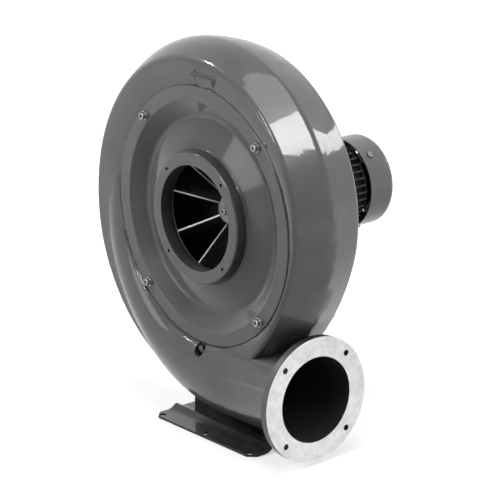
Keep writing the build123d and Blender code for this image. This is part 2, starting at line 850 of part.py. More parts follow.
def terminal_box():
    """Open box with walls, screw posts and a threaded cable entry."""
    top = box_floor_r + box_height
    inner_w = box_width - 2 * box_wall
    inner_l = box_length - 2 * box_wall
    body = box_shell(box_width, box_length, box_floor_r, top, 8)
    body = body - box_shell(inner_w, inner_l, box_floor_r + box_wall, top + 1, 5.5)
    near, far = terminal_span()
    middle = (near + far) / 2
    for x in (-1, 1):
        for z in (-1, 1):
            post_at = Pos(x * (inner_w / 2 - 4), (box_floor_r + top) / 2, -middle + z * (inner_l / 2 - 4))
            post = post_at * Rot(90, 0, 0) * Cylinder(5, box_height)
            body = body + post
            drill = post_at * Pos(0, box_height / 2, 0) * Rot(90, 0, 0) * Cylinder(small_screw_r + tap_gap, 24)
            body = body - drill
    entry = Pos(-box_width / 2, box_floor_r + box_height / 2, -middle) * Rot(0, 90, 0)
    body = body - entry * Cylinder(8.1, 12)
    window = slab(-box_width / 2 + 26, box_width / 2 - 26, box_floor_r - 1, box_floor_r + box_wall + 1,
                  near + 22, far - 22)
    return body - window


def terminal_gasket():
    """Flat seal on the rim of the terminal box."""
    low = box_floor_r + box_height
    high = low + gasket_sheet
    body = box_shell(box_width - 0.4, box_length - 0.4, low, high, 7.8)
    body = body - box_shell(box_width - 2 * box_wall - 16, box_length - 2 * box_wall - 16, low - 1, high + 1, 4)
    return body - lid_screw_holes(small_screw_r + 0.3, low - 1, high + 1)


def lid_screw_holes(radius, low, high):
    """Four round solids at the lid screws between two heights."""
    near, far = terminal_span()
    middle = (near + far) / 2
    x_at = box_width / 2 - box_wall - 4
    z_at = box_length / 2 - box_wall - 4
    solids = []
    for x in (-x_at, x_at):
        for z in (-z_at, z_at):
            pin = Pos(x, (low + high) / 2, -middle + z) * Rot(90, 0, 0) * Cylinder(radius, high - low)
            solids.append(pin)
    return solids


def terminal_lid():
    """Domed lid with recessed screw seats."""
    low = box_floor_r + box_height + gasket_sheet
    high = low + lid_height
    lid = box_shell(box_width, box_length, low, high, 8)
    lid = fillet(lid.faces().sort_by(Axis.Y)[-1].edges(), 4)
    lid = lid - box_shell(box_width - 22, box_length - 22, low - 1, high - 3, 5)
    lid = lid - lid_screw_holes(5.2, low + 5, high + 5)
    return lid - lid_screw_holes(small_screw_r + 0.3, low - 1, high)


def terminal_lid_screws():
    """Slotted pan head screws of the lid."""
    seat = box_floor_r + box_height + gasket_sheet + 5
    screws = []
    heads = lid_screw_holes(3.8, seat, seat + 2.6)
    shanks = lid_screw_holes(small_screw_r, seat - 16, seat + 1)
    slots = [Pos(head.center()) * Pos(0, 1.3, 0) * Box(9, 1.4, 1.0) for head in heads]
    for head, shank, slot in zip(heads, shanks, slots):
        screws.append(head + shank - slot)
    return screws


def terminal_block():
    """Six-stud connection block on the floor of the terminal box."""
    near, far = terminal_span()
    middle = (near + far) / 2
    floor = box_floor_r + box_wall
    body = slab(-18, 18, floor, floor + 7, middle - 12, middle + 12)
    for x in (-11, 0, 11):
        for z in (-6.5, 6.5):
            stud = Pos(x, floor + 9, -middle + z) * Rot(90, 0, 0) * Cylinder(1.9, 8)
            body = body + stud
            nut = Pos(x, floor + 7, -middle + z) * Rot(-90, 0, 0) * extrude(RegularPolygon(3.6, 6), 2.2)
            body = body + nut
    return body


def cable_gland():
    """Gland body with its hexagon, and the cap nut with a blind seal."""
    near, far = terminal_span()
    middle = (near + far) / 2
    at = Pos(-box_width / 2, box_floor_r + box_height / 2, -middle) * Rot(0, -90, 0)
    body = at * (Pos(0, 0, 2.5) * Cylinder(8, 17) + Pos(0, 0, 0.1) * extrude(RegularPolygon(11, 6), 5))
    cap = at * (Pos(0, 0, 5.2) * extrude(RegularPolygon(10.6, 6), 8) + Pos(0, 0, 15.6) * Cylinder(8.6, 5))
    cap = cap - at * Pos(0, 0, 8.1) * Cylinder(8.05, 5.9)
    cap = cap - at * Pos(0, 0, 17) * Cylinder(5, 6)
    return body, cap


def base_plate():
    """Pressed sheet with two rounded ridges, six foot holes and four screw holes."""
    half = base_depth / 2
    ridge_start = half - base_flange
    ridge_end = ridge_start - ridge_width
    rise = ridge_height - base_sheet
    upper = sheet_line(half, ridge_start, ridge_end, rise, base_sheet)
    lower = sheet_line(half, ridge_start, ridge_end, rise, 0.0)
    ends = [Line(upper @ 0, lower @ 0), Line(upper @ 1, lower @ 1)]
    face = make_face([upper, lower] + ends)
    plate = extrude(Plane.YZ * face, base_length / 2, both=True)
    corners = plate.edges().filter_by(Axis.Z).sort_by(Axis.X)
    plate = chamfer(corners, base_corner)
    for x in (-foot_pitch_x, 0, foot_pitch_x):
        for y in (-foot_pitch_y / 2, foot_pitch_y / 2):
            plate = plate - Pos(x, y, 0) * Cylinder(foot_hole_r, 4 * base_sheet)
    for x, depth in foot_screw_spots():
        y = inlet_face_y + depth
        plate = plate - Pos(x, y, 0) * Cylinder(plate_screw_r + 0.3, 4 * base_sheet)
        plate = plate - Pos(x, y, base_sheet / 2) * Cone(6.6, 3.3, base_sheet)
    return plate


def sheet_line(half, ridge_start, ridge_end, rise, level):
    """Section line of the pressed sheet from front to rear at one face of the sheet."""
    crest = -(ridge_start + ridge_end) / 2
    front = Spline((-ridge_start, level), (crest, level + rise), (-ridge_end, level),
                   tangents=[(1, 0), (1, 0)])
    rear = Spline((ridge_end, level), (-crest, level + rise), (ridge_start, level),
                  tangents=[(1, 0), (1, 0)])
    flat_front = Line((-half, level), (-ridge_start, level))
    flat_middle = Line((-ridge_end, level), (ridge_end, level))
    flat_rear = Line((ridge_start, level), (half, level))
    return Wire([flat_front, front, flat_middle, rear, flat_rear])


def base_screws():
    """Countersunk screws from under the base into the casting's foot."""
    screws = []
    for x, depth in foot_screw_spots():
        y = inlet_face_y + depth
        head = Pos(x, y, base_sheet / 2) * Cone(6.3, 3.0, base_sheet)
        shank = Pos(x, y, base_sheet + 5) * Cylinder(plate_screw_r, 11)
        screws.append(head + shank)
    return screws


def save(name, shape, turn=0.0):
    """Write one node of the fan, turned about the shaft by an angle."""
    if isinstance(shape, list):
        shape = Compound(children=shape)
    export_step(place(Rot(0, 0, turn) * shape), "parts/" + name + ".step")


def save_base(name, shape):
    """Write one node that is modelled where it stands."""
    if isinstance(shape, list):
        shape = Compound(children=shape)
    export_step(shape, "parts/" + name + ".step")


def main():
    """Build and write every node."""
    os.makedirs("parts", exist_ok=True)
    screws, washers = cover_fixings()
    keeper, nose_screw = retaining_fixings()
    gland, gland_cap = cable_gland()
    save("scroll_casing", scroll_casing())
    save("inlet_cover", inlet_cover())
    save("cover_screws", screws)
    save("cover_washers", washers)
    save("crease_plug", crease_plug())
    save("back_plate", back_plate())
    save("back_plate_bolts", back_plate_bolts())
    save("impeller_shroud", impeller_shroud())
    save("impeller_backplate", impeller_backplate())
    save("impeller_blades", impeller_blades())
    save("impeller_hub", impeller_hub())
    save("impeller_rivets", impeller_rivets())
    save("hub_washer", keeper)
    save("hub_screw", nose_screw)
    save("shaft", shaft())
    save("shaft_key", slab(-2.5, 2.5, shaft_r - 2.55, shaft_r + 2.3, hub_front + 4.2, backplate_rear + 1.8))
    save("shaft_seal", shaft_seal())
    for name, bearing, near in (("front_bearing", front_bearing, front_bearing_at),
                                ("rear_bearing", rear_bearing, rear_bearing_at)):
        save(name + "_outer_ring", outer_ring(bearing, near))
        save(name + "_inner_ring", inner_ring(bearing, near))
        save(name + "_balls", bearing_balls(bearing, near))
        save(name + "_cage", bearing_cage(bearing, near))
    save("motor_front_shield", motor_front_shield())
    save("motor_flange_bolts", motor_flange_bolts())
    save("stator_housing", stator_housing(), box_side)
    save("stator_core", stator_core())
    save("stator_windings", stator_windings())
    save("rotor_core", rotor_core())
    save("wave_washer", wave_washer())
    save("motor_rear_shield", motor_rear_shield())
    save("cooling_fan", cooling_fan())
    save("fan_cowl", fan_cowl())
    save("cowl_screws", cowl_screws())
    save("terminal_box", terminal_box(), box_side)
    save("terminal_gasket", terminal_gasket(), box_side)
    save("terminal_lid", terminal_lid(), box_side)
    save("terminal_lid_screws", terminal_lid_screws(), box_side)
    save("terminal_block", terminal_block(), box_side)
    save("cable_gland", gland, box_side)
    save("cable_gland_cap", gland_cap, box_side)
    save_base("base_plate", base_plate())
    save_base("base_screws", base_screws())


main()
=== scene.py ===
"""Dressed scene of a centrifugal fan with a cast volute casing.

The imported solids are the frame, and every node gets a procedural finish. The
casting is shown by a skin whose wall is eased the way a sand casting's is.
"""

import logging
import math
from dataclasses import dataclass, field
from enum import Enum
from typing import Optional, Sequence

import bmesh
import bpy
from mathutils import Matrix, Vector


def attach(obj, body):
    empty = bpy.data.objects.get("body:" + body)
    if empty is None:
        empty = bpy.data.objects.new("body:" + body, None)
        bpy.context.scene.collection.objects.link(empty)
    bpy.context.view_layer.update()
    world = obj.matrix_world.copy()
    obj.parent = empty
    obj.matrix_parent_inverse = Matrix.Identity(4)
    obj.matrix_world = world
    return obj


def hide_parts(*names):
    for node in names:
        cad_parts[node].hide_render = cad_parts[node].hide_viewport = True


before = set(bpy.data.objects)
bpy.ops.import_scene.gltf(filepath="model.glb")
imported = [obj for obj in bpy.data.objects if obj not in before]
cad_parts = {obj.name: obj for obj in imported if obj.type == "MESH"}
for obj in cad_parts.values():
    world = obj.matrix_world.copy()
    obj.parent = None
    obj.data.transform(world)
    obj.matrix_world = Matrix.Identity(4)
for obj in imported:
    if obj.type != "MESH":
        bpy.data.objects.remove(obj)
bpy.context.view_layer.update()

LOG = logging.getLogger("fan")
MM = 0.001

Triple = tuple[float, float, float]

SHAFT_HEIGHT = 270.0 * MM
SHAFT_CENTRE: Triple = (0.0, 0.0, SHAFT_HEIGHT)
OUTLET_CENTRE: Triple = (153.7 * MM, -31.0 * MM, 79.0 * MM)


class Slot(Enum):
    """Material slots of the record that the finishes are made for."""

    CASING = "casing_paint"
    COVER = "cover_paint"
    BASE = "base_paint"
    MOTOR = "motor_paint"
    COWL = "cowl_paint"
    ZINC = "zinc_steel"
    IMPELLER = "impeller_sheet"
    HUB = "hub_aluminium"
    SHAFT = "shaft_steel"
    BEARING = "bearing_steel"
    CAGE = "cage_brass"
    SEAL = "seal_rubber"
    CORE = "core_steel"
    WINDING = "winding_copper"
    FAN = "fan_plastic"
    TERMINAL = "terminal_plastic"
    GLAND = "gland_plastic"


class Turned(Enum):
    """Plane in which the rings left by a lathe tool lie."""

    ABOUT_X = (0.0, 1.0, 1.0)
    ABOUT_Y = (1.0, 0.0, 1.0)


def linear(level: float) -> float:
    """Linear value of one 0-255 display level.

    Args:
        level: Display level.

    Returns:
        Scene-linear value.
    """
    share = level / 255.0
    if share <= 0.04045:
        return share / 12.92
    return ((share + 0.055) / 1.055) ** 2.4


def shade(red: float, green: float, blue: float) -> tuple[float, float, float, float]:
    """Linear colour of three display levels.

    Args:
        red: Red level, 0 to 255.
        green: Green level.
        blue: Blue level.

    Returns:
        Colour with an alpha of one.
    """
    return (linear(red), linear(green), linear(blue), 1.0)


def grey(value: float) -> tuple[float, float, float, float]:
    """Grey of one scene-linear value, with an alpha of one."""
    return (value, value, value, 1.0)


def eased(share: float) -> float:
    """Share kept between 0 and 1, with a soft start and a soft end."""
    share = min(1.0, max(0.0, share))
    return share * share * (3.0 - 2.0 * share)


class Net:
    """Adds nodes and links to one node tree."""

    def __init__(self, tree: bpy.types.NodeTree) -> None:
        """Keep the tree."""
        self.tree = tree

    def add(self, kind: str, **settings: object) -> bpy.types.Node:
        """Add one node.

        Args:
            kind: Node type.
            settings: Attributes of the node.

        Returns:
            The node.
        """
        node = self.tree.nodes.new(kind)
        for name, value in settings.items():
            setattr(node, name, value)
        return node

    def join(self, source: bpy.types.NodeSocket, target: bpy.types.NodeSocket) -> None:
        """Link two sockets."""
        self.tree.links.new(source, target)

    def feed(self, target: bpy.types.NodeSocket, value: object) -> None:
        """Link a socket, or set a plain value on it.

        Args:
            target: Input socket.
            value: Output socket, number or tuple.
        """
        if isinstance(value, bpy.types.NodeSocket):
            self.join(value, target)
        else:
            target.default_value = value

    def sum(self, operation: str, first: object, second: object = 0.0,
            third: Optional[object] = None, clamp: bool = False) -> bpy.types.NodeSocket:
        """Work out one number.

        Args:
            operation: Name of the Math operation.
            first: Socket or number.
            second: Socket or number.
            third: Socket or number, where the operation takes three.
            clamp: Whether the result is kept between 0 and 1.

        Returns:
            The result's socket.
        """
        node = self.add("ShaderNodeMath", operation=operation, use_clamp=clamp)
        self.feed(node.inputs[0], first)
        self.feed(node.inputs[1], second)
        if third is not None:
            self.feed(node.inputs[2], third)
        return node.outputs[0]

    def vector(self, operation: str, first: object, second: object) -> bpy.types.Node:
        """Add one Vector Math node.

        Args:
            operation: Name of the operation.
            first: Socket or tuple.
            second: Socket or tuple.

        Returns:
            The node.
        """
        node = self.add("ShaderNodeVectorMath", operation=operation)
        self.feed(node.inputs[0], first)
        self.feed(node.inputs[1], second)
        return node

    def noise(self, where: bpy.types.NodeSocket, scale: object, detail: float = 3.0,
              rough: float = 0.5) -> bpy.types.NodeSocket:
        """Three-dimensional noise value.

        Args:
            where: Coordinates.
            scale: Scale as a socket or number.
            detail: Octaves.
            rough: Share of the finer octaves.

        Returns:
            Value between 0 and 1.
        """
        node = self.add("ShaderNodeTexNoise")
        self.join(where, node.inputs["Vector"])
        self.feed(node.inputs["Scale"], scale)
        node.inputs["Detail"].default_value = detail
        node.inputs["Roughness"].default_value = rough
        return node.outputs["Fac"]

    def remap(self, value: bpy.types.NodeSocket, low: object, high: object,
              to_low: object = 0.0, to_high: object = 1.0) -> bpy.types.NodeSocket:
        """Map a range onto another, without going past its ends.

        Args:
            value: Input value.
            low: Start of the range.
            high: End of the range.
            to_low: Result at the start.
            to_high: Result at the end.

        Returns:
            The mapped value.
        """
        node = self.add("ShaderNodeMapRange", clamp=True)
        self.join(value, node.inputs["Value"])
        for name, number in (("From Min", low), ("From Max", high), ("To Min", to_low), ("To Max", to_high)):
            self.feed(node.inputs[name], number)
        return node.outputs["Result"]

    def blend(self, share: object, first: object, second: object) -> bpy.types.NodeSocket:
        """Mix two colours.

        Args:
            share: Share of the second colour.
            first: First colour.
            second: Second colour.

        Returns:
            The mixed colour.
        """
        node = self.add("ShaderNodeMix", data_type="RGBA")
        self.feed(node.inputs[0], share)
        self.feed(node.inputs[6], first)
        self.feed(node.inputs[7], second)
        return node.outputs[2]


@dataclass(frozen=True)
class Port:
    """One socket of a shared effect."""

    name: str
    kind: str = "NodeSocketFloat"
    value: object = 0.5
    output: bool = False


class Effects:
    """Shader node groups that several finishes share, each built once."""

    def __init__(self) -> None:
        """Build every group."""
        self.edge_wear_and_highlight = self._edge_wear_and_highlight()
        self.skin = self._skin()
        self.dust = self._dust()
        self.rings = self._rings()
        self.clouds = self._clouds()
        self.painted_shade = self._hollow_painted_shade()

    def _group(self, name: str, ports: Sequence[Port]) -> tuple[Net, bpy.types.Node, bpy.types.Node]:
        """Start a group.

        Args:
            name: Group name.
            ports: Its sockets.

        Returns:
            The net and the group's input and output nodes.
        """
        tree = bpy.data.node_groups.new(name, "ShaderNodeTree")
        for port in ports:
            socket = tree.interface.new_socket(
                name=port.name, in_out="OUTPUT" if port.output else "INPUT", socket_type=port.kind)
            if not port.output:
                socket.default_value = port.value
        net = Net(tree)
        return net, net.add("NodeGroupInput"), net.add("NodeGroupOutput")

    def _edge_wear_and_highlight(self) -> bpy.types.NodeTree:
        """Mask along convex and concave edges, broken up by noise: edge wear and painted edge highlight.

        Returns:
            The group.
        """
        net, given, out = self._group("edge_wear_and_highlight", (
            Port("Radius", value=1.2 * MM), Port("Scale", value=160.0), Port("Spread", value=0.5),
            Port("Mask", output=True)))
        bevel = net.add("ShaderNodeBevel", samples=6)
        net.join(given.outputs["Radius"], bevel.inputs["Radius"])
        surface = net.add("ShaderNodeNewGeometry")
        facing = net.vector("DOT_PRODUCT", bevel.outputs["Normal"], surface.outputs["Normal"])
        turn = net.sum("SUBTRACT", 1.0, facing.outputs["Value"])
        edge = net.remap(turn, 0.015, 0.16)
        where = net.add("ShaderNodeTexCoord").outputs["Object"]
        grain = net.noise(where, given.outputs["Scale"], 4.0, 0.6)
        low = net.sum("SUBTRACT", 1.0, given.outputs["Spread"])
        broken = net.remap(grain, net.sum("MULTIPLY", low, 0.75), net.sum("ADD", low, 0.12))
        net.join(net.sum("MULTIPLY", edge, broken, clamp=True), out.inputs["Mask"])
        return net.tree

    def _skin(self) -> bpy.types.NodeTree:
        """Orange peel and slow waves of a sprayed casting.

        Returns:
            The group.
        """
        net, given, out = self._group("sprayed_skin", (
            Port("Fine Scale", value=420.0), Port("Broad Scale", value=22.0), Port("Fine", value=0.2),
            Port("Broad", value=1.0), Port("Height", output=True), Port("Tone", output=True)))
        where = net.add("ShaderNodeTexCoord").outputs["Object"]
        fine = net.noise(where, given.outputs["Fine Scale"], 2.0, 0.4)
        broad = net.noise(where, given.outputs["Broad Scale"], 2.0, 0.5)
        speck = net.noise(where, 1500.0, 1.0, 0.5)
        height = net.sum("MULTIPLY_ADD", fine, given.outputs["Fine"],
                         net.sum("MULTIPLY", broad, given.outputs["Broad"]))
        net.join(height, out.inputs["Height"])
        tone = net.sum("MULTIPLY_ADD", speck, 0.4, net.sum("MULTIPLY", broad, 0.6))
        net.join(tone, out.inputs["Tone"])
        return net.tree

    def _dust(self) -> bpy.types.NodeTree:
        """Fine dust that lies on upward faces.

        Returns:
            The group.
        """
        net, given, out = self._group("settled_dust", (
            Port("Scale", value=60.0), Port("Amount", value=0.2), Port("Mask", output=True)))
        surface = net.add("ShaderNodeNewGeometry")
        parts = net.add("ShaderNodeSeparateXYZ")
        net.join(surface.outputs["Normal"], parts.inputs[0])
        up = net.remap(parts.outputs["Z"], 0.35, 1.0)
        where = net.add("ShaderNodeTexCoord").outputs["Object"]
        cloud = net.remap(net.noise(where, given.outputs["Scale"], 5.0, 0.65), 0.38, 0.72)
        thick = net.sum("MULTIPLY", net.sum("MULTIPLY", up, cloud), given.outputs["Amount"], clamp=True)
        net.join(thick, out.inputs["Mask"])
        return net.tree

    def _hollow_painted_shade(self) -> bpy.types.NodeTree:
        """Painted shade: darkening in corners and hollows, found by ambient occlusion and broken up by
        noise.

        Returns:
            The group.
        """
        net, given, out = self._group("hollow_painted_shade", (
            Port("Reach", value=30.0 * MM), Port("Amount", value=0.6), Port("Mask", output=True)))
        shut = net.add("ShaderNodeAmbientOcclusion", samples=8)
        net.join(given.outputs["Reach"], shut.inputs["Distance"])
        deep = net.remap(shut.outputs["AO"], 0.52, 0.92, 1.0, 0.0)
        where = net.add("ShaderNodeTexCoord").outputs["Object"]
        patch = net.remap(net.noise(where, 34.0, 4.0, 0.6), 0.3, 0.7, 0.7, 1.0)
        thick = net.sum("MULTIPLY", net.sum("MULTIPLY", deep, patch), given.outputs["Amount"], clamp=True)
        net.join(thick, out.inputs["Mask"])
        return net.tree

    def _rings(self) -> bpy.types.NodeTree:
        """Fine rings that a lathe tool leaves.

        Returns:
            The group.
        """
        net, given, out = self._group("tool_rings", (
            Port("Centre", "NodeSocketVector", (0.0, 0.0, 0.0)),
            Port("Plane", "NodeSocketVector", (1.0, 0.0, 1.0)), Port("Pitch", value=1800.0),
            Port("Height", output=True), Port("Tone", output=True)))
        where = net.add("ShaderNodeTexCoord").outputs["Object"]
        from_centre = net.vector("SUBTRACT", where, given.outputs["Centre"]).outputs[0]
        flat = net.vector("MULTIPLY", from_centre, given.outputs["Plane"]).outputs[0]
        length = net.add("ShaderNodeVectorMath", operation="LENGTH")
        net.join(flat, length.inputs[0])
        along = net.sum("MULTIPLY", length.outputs["Value"], given.outputs["Pitch"])
        line = net.add("ShaderNodeTexNoise", noise_dimensions="1D")
        net.join(along, line.inputs["W"])
        line.inputs["Scale"].default_value = 1.0
        line.inputs["Detail"].default_value = 2.0
        net.join(line.outputs["Fac"], out.inputs["Height"])
        wide = net.add("ShaderNodeTexNoise", noise_dimensions="1D")
        net.join(net.sum("MULTIPLY", along, 0.12), wide.inputs["W"])
        wide.inputs["Scale"].default_value = 1.0
        net.join(wide.outputs["Fac"], out.inputs["Tone"])
        return net.tree

    def _clouds(self) -> bpy.types.NodeTree:
        """Uneven patches of bare or galvanised metal.

        Returns:
            The group.
        """
        net, given, out = self._group("metal_clouds", (
            Port("Scale", value=70.0), Port("Contrast", value=0.3), Port("Tone", output=True)))
        where = net.add("ShaderNodeTexCoord").outputs["Object"]
        large = net.noise(where, given.outputs["Scale"], 6.0, 0.68)
        cell = net.add("ShaderNodeTexVoronoi", feature="F1")
        net.join(where, cell.inputs["Vector"])
        net.join(net.sum("MULTIPLY", given.outputs["Scale"], 4.0), cell.inputs["Scale"])
        spangle = net.add("ShaderNodeSeparateColor")
        net.join(cell.outputs["Color"], spangle.inputs[0])
        mixed = net.sum("MULTIPLY_ADD", spangle.outputs[0], 0.12, net.sum("MULTIPLY", large, 0.88))
        half = net.sum("MULTIPLY", given.outputs["Contrast"], 0.5)
        low = net.sum("SUBTRACT", 0.5, half)
        high = net.sum("ADD", 0.5, half)
        net.join(net.remap(mixed, low, high), out.inputs["Tone"])
        return net.tree


@dataclass(frozen=True)
class Finish:
    """What every finish has: a name and a base colour in display levels."""

    name: str
    levels: Triple

    def start(self) -> tuple[bpy.types.Material, Net, bpy.types.Node]:
        """Start a material.

        Returns:
            The material, its net and its Principled node.
        """
        material = bpy.data.materials.new(self.name)
        material.use_nodes = True
        net = Net(material.node_tree)
        return material, net, material.node_tree.nodes["Principled BSDF"]

    def tint(self, factor: float, lift: float = 0.0) -> tuple[float, float, float, float]:
        """Colour of the finish, made lighter or darker.

        Args:
            factor: What its display levels are multiplied by.
            lift: Levels added after that.

        Returns:
            Scene-linear colour.
        """
        return shade(*[min(255, level * factor + lift) for level in self.levels])

    def use(self, net: Net, group: bpy.types.NodeTree, **values: object) -> bpy.types.Node:
        """Place a shared effect.

        Args:
            net: Net of the material.
            group: The effect.
            values: Its inputs, with spaces written as underscores.

        Returns:
            The group node.
        """
        node = net.add("ShaderNodeGroup")
        node.node_tree = group
        for name, value in values.items():
            net.feed(node.inputs[name.replace("_", " ")], value)
        return node

    def bump(self, net: Net, shader: bpy.types.Node, height: bpy.types.NodeSocket, distance: float,
             strength: float = 1.0) -> None:
        """Raise the surface by a height.

        Args:
            net: Net of the material.
            shader: Principled node.
            height: Height socket.
            distance: Height of one unit, in metres.
            strength: Bump strength.
        """
        node = net.add("ShaderNodeBump")
        node.inputs["Strength"].default_value = strength
        node.inputs["Distance"].default_value = distance
        net.join(height, node.inputs["Height"])
        net.join(node.outputs["Normal"], shader.inputs["Normal"])


@dataclass(frozen=True)
class Paint(Finish):
    """Sprayed enamel on metal, worn a little along its edges, with painted edge highlights and painted shade
    in hollows.
    """

    worn_and_lit_edge_levels: Triple = (150, 151, 152)
    roughness: float = 0.3
    coat: float = 0.5
    coat_roughness: float = 0.06
    fine: float = 0.25
    broad: float = 1.0
    fine_scale: float = 420.0
    depth: float = 0.25 * MM
    wear_and_highlight: float = 0.35
    wear_and_highlight_radius: float = 1.2 * MM
    dust: float = 0.12
    dust_levels: Triple = (150, 149, 146)
    specular: float = 0.18
    coat_ior: float = 1.36
    painted_shade: float = 0.6
    painted_shade_darkness: float = 0.25
    painted_shade_dulling: float = 0.85
    hollow_reach: float = 30.0 * MM
    variation: float = 0.05

    def build(self, effects: Effects) -> bpy.types.Material:
        """Make the material.

        Args:
            effects: Shared groups.

        Returns:
            The material.
        """
        material, net, shader = self.start()
        skin = self.use(net, effects.skin, Fine_Scale=self.fine_scale, Fine=self.fine, Broad=self.broad)
        dark = self.tint(1.0 - self.variation)
        light = self.tint(1.0 + self.variation)
        colour = net.blend(net.remap(skin.outputs["Tone"], 0.35, 0.65), dark, light)
        # Lighter along edges: bare metal where the paint is worn, and painted edge highlight.
        edge = self.use(net, effects.edge_wear_and_highlight, Radius=self.wear_and_highlight_radius, Spread=self.wear_and_highlight)
        colour = net.blend(net.sum("MULTIPLY", edge.outputs["Mask"], 0.55), colour, shade(*self.worn_and_lit_edge_levels))
        # Painted shade: the colour goes darker in corners and hollows, by ambient occlusion.
        hollow = self.use(net, effects.painted_shade, Amount=self.painted_shade, Reach=self.hollow_reach)
        colour = net.blend(hollow.outputs["Mask"], colour, self.tint(self.painted_shade_darkness))
        dust = self.use(net, effects.dust, Amount=self.dust)
        colour = net.blend(dust.outputs["Mask"], colour, shade(*self.dust_levels))
        net.join(colour, shader.inputs["Base Color"])
        rough = net.remap(skin.outputs["Tone"], 0.3, 0.7, self.roughness * 0.88, self.roughness * 1.12)
        net.join(net.sum("MULTIPLY_ADD", dust.outputs["Mask"], 0.5, rough, clamp=True),
                 shader.inputs["Roughness"])
        # Painted shade: the coat thins in hollows, standing in for the dark reflections there.
        open_part = net.sum("MULTIPLY_ADD", hollow.outputs["Mask"], -self.painted_shade_dulling, 1.0, clamp=True)
        clear = net.sum("SUBTRACT", 1.0, dust.outputs["Mask"])
        bare = net.sum("MULTIPLY", net.sum("MULTIPLY", clear, open_part), self.coat)
        net.join(bare, shader.inputs["Coat Weight"])
        shader.inputs["Coat Roughness"].default_value = self.coat_roughness
        shader.inputs["Coat IOR"].default_value = self.coat_ior
        shader.inputs["Specular IOR Level"].default_value = self.specular
        self.bump(net, shader, skin.outputs["Height"], self.depth)
        return material


@dataclass(frozen=True)
class Metal(Finish):
    """Bare or plated metal with clouds and fine specks."""

    dark_levels: Triple = (120, 120, 122)
    roughness: float = 0.35
    spread: float = 0.12
    cloud_scale: float = 70.0
    contrast: float = 0.35
    grain_scale: float = 900.0
    depth: float = 0.03 * MM
    worn_and_lit_edge: float = 0.5
    edge_radius: float = 0.6 * MM

    def build(self, effects: Effects) -> bpy.types.Material:
        """Make the material.

        Args:
            effects: Shared groups.

        Returns:
            The material.
        """
        material, net, shader = self.start()
        cloud = self.use(net, effects.clouds, Scale=self.cloud_scale, Contrast=self.contrast)
        colour = net.blend(cloud.outputs["Tone"], shade(*self.dark_levels), shade(*self.levels))
        # Lighter along edges: worn metal and painted edge highlight.
        edge = self.use(net, effects.edge_wear_and_highlight, Radius=self.edge_radius, Spread=self.worn_and_lit_edge)
        colour = net.blend(net.sum("MULTIPLY", edge.outputs["Mask"], 0.6), colour, self.tint(1.12))
        net.join(colour, shader.inputs["Base Color"])
        shader.inputs["Metallic"].default_value = 1.0
        rough = net.remap(cloud.outputs["Tone"], 0.0, 1.0, self.roughness + self.spread, self.roughness)
        net.join(rough, shader.inputs["Roughness"])
        grain = self.use(net, effects.skin, Fine_Scale=self.grain_scale, Fine=1.0, Broad=0.0)
        self.bump(net, shader, grain.outputs["Height"], self.depth)
        return material


@dataclass(frozen=True)
class Machined(Finish):
    """Metal faced or turned on a lathe, stained in patches."""

    dark_levels: Triple = (120, 120, 118)
    centre: Triple = SHAFT_CENTRE
    plane: Turned = Turned.ABOUT_Y
    pitch: float = 1800.0
    roughness: float = 0.28
    cloud_scale: float = 60.0
    contrast: float = 0.4
    depth: float = 0.04 * MM
    metallic: float = 1.0
    stain_roughness: float = 0.16

    def build(self, effects: Effects) -> bpy.types.Material:
        """Make the material.

        Args:
            effects: Shared groups.

        Returns:
            The material.
        """
        material, net, shader = self.start()
        rings = self.use(net, effects.rings, Centre=self.centre, Plane=self.plane.value, Pitch=self.pitch)
        cloud = self.use(net, effects.clouds, Scale=self.cloud_scale, Contrast=self.contrast)
        share = net.sum("MULTIPLY_ADD", rings.outputs["Tone"], 0.4,
                        net.sum("MULTIPLY_ADD", cloud.outputs["Tone"], 0.9, -0.12), clamp=True)
        colour = net.blend(share, shade(*self.dark_levels), shade(*self.levels))
        net.join(colour, shader.inputs["Base Color"])
        shader.inputs["Metallic"].default_value = self.metallic
        rough = net.remap(share, 0.0, 1.0, self.roughness + self.stain_roughness, self.roughness)
        net.join(rough, shader.inputs["Roughness"])
        self.bump(net, shader, rings.outputs["Height"], self.depth)
        return material


@dataclass(frozen=True)
class Moulded(Finish):
    """Plastic or rubber with a fine eroded texture."""

    roughness: float = 0.5
    grain_scale: float = 1400.0
    depth: float = 0.06 * MM
    wear_and_highlight: float = 0.3
    wear_and_highlight_radius: float = 0.8 * MM
    specular: float = 0.5
    roughness_spread: float = 0.06

    def build(self, effects: Effects) -> bpy.types.Material:
        """Make the material.

        Args:
            effects: Shared groups.

        Returns:
            The material.
        """
        material, net, shader = self.start()
        skin = self.use(net, effects.skin, Fine_Scale=self.grain_scale, Fine=1.0, Broad=0.15)
        tone = skin.outputs["Tone"]
        colour = net.blend(net.remap(tone, 0.35, 0.65), self.tint(0.9), self.tint(1.08, 2))
        # Lighter along edges: worn plastic and painted edge highlight.
        edge = self.use(net, effects.edge_wear_and_highlight, Radius=self.wear_and_highlight_radius, Spread=self.wear_and_highlight)
        colour = net.blend(net.sum("MULTIPLY", edge.outputs["Mask"], 0.4), colour, self.tint(1.3, 12))
        net.join(colour, shader.inputs["Base Color"])
        smooth = self.roughness - self.roughness_spread
        coarse = self.roughness + self.roughness_spread
        net.join(net.remap(tone, 0.3, 0.7, smooth, coarse), shader.inputs["Roughness"])
        shader.inputs["Specular IOR Level"].default_value = self.specular
        self.bump(net, shader, skin.outputs["Height"], self.depth)
        return material


